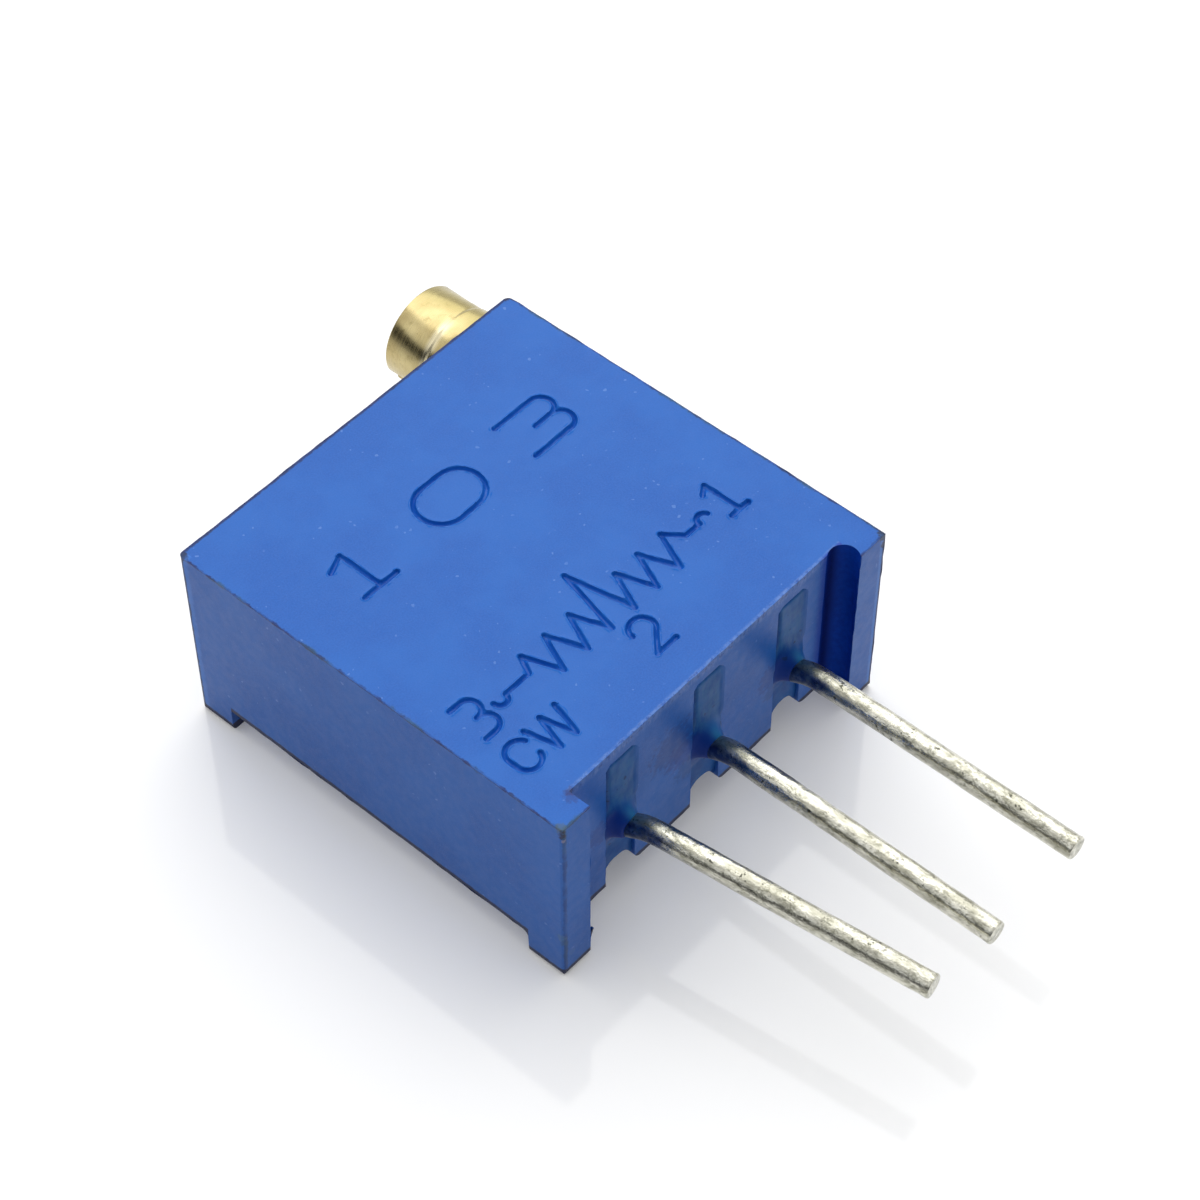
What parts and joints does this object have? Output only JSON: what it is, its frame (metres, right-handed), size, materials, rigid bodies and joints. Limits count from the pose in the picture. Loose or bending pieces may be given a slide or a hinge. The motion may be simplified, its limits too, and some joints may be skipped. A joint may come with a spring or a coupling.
{
  "type": "trimmer potentiometer",
  "caption": "Square multi-turn trimmer potentiometer lying on its back, with a slotted brass screw on one side that turns a wiper rotor by a worm, and a row of wire pins on the other.",
  "frame": {"origin": "where the axis of the middle pin crosses the seating plane of the two ribs on the pin side", "axes": "+Z out of the marked face, -Y along the pins, +Y towards the screw side, +X towards pin 1"},
  "size_m": [0.0096, 0.018, 0.0048],
  "materials": {
    "case_plastic": "moulded satin, engraved marks, lightly rubbed edges",
    "sealing_resin": "poured and cured, slightly glossy",
    "ceramic": "fired, matt white",
    "resistive_ink": "printed and fired, matt",
    "conductive_ink": "printed and fired, satin",
    "solder": "flowed, satin",
    "tinned_wire": "dipped in solder, uneven and dull",
    "clip_steel": "pressed sheet",
    "screw_brass": "turned, slightly worn",
    "ring_rubber": "moulded",
    "gear_plastic": "moulded",
    "contact_metal": "stamped spring sheet"
  },
  "bodies": {
    "case": {"housing": "case_plastic", "back_seal": "sealing_resin", "ceramic_substrate": "ceramic", "resistive_track": "resistive_ink", "collector_track": "conductive_ink", "termination_1": "conductive_ink", "termination_3": "conductive_ink", "solder_joint_1": "solder", "solder_joint_2": "solder", "solder_joint_3": "solder", "terminal_pin_1": "tinned_wire", "terminal_pin_2": "tinned_wire", "terminal_pin_3": "tinned_wire", "retaining_clip": "clip_steel"},
    "screw": {"adjustment_screw": "screw_brass", "o_ring": "ring_rubber"},
    "rotor": {"rotor_gear": "gear_plastic", "wiper_contact": "contact_metal"}
  },
  "joints": [
    {"name": "screw_turn", "type": "hinge", "parent": "case", "child": "screw", "pos_m": [0.00364, 0.01003, 0.00104], "axis": [0, -1, 0], "range_deg": [-4500, 4500]},
    {"name": "rotor_turn", "type": "hinge", "parent": "case", "child": "rotor", "pos_m": [0.00025, 0.00506, 0.00104], "axis": [0, 0, 1], "range_deg": [-150, 150]}
  ],
  "couplings": [
    {"joint": "rotor_turn", "follows": "screw_turn", "ratio": 0.033333}
  ]
}
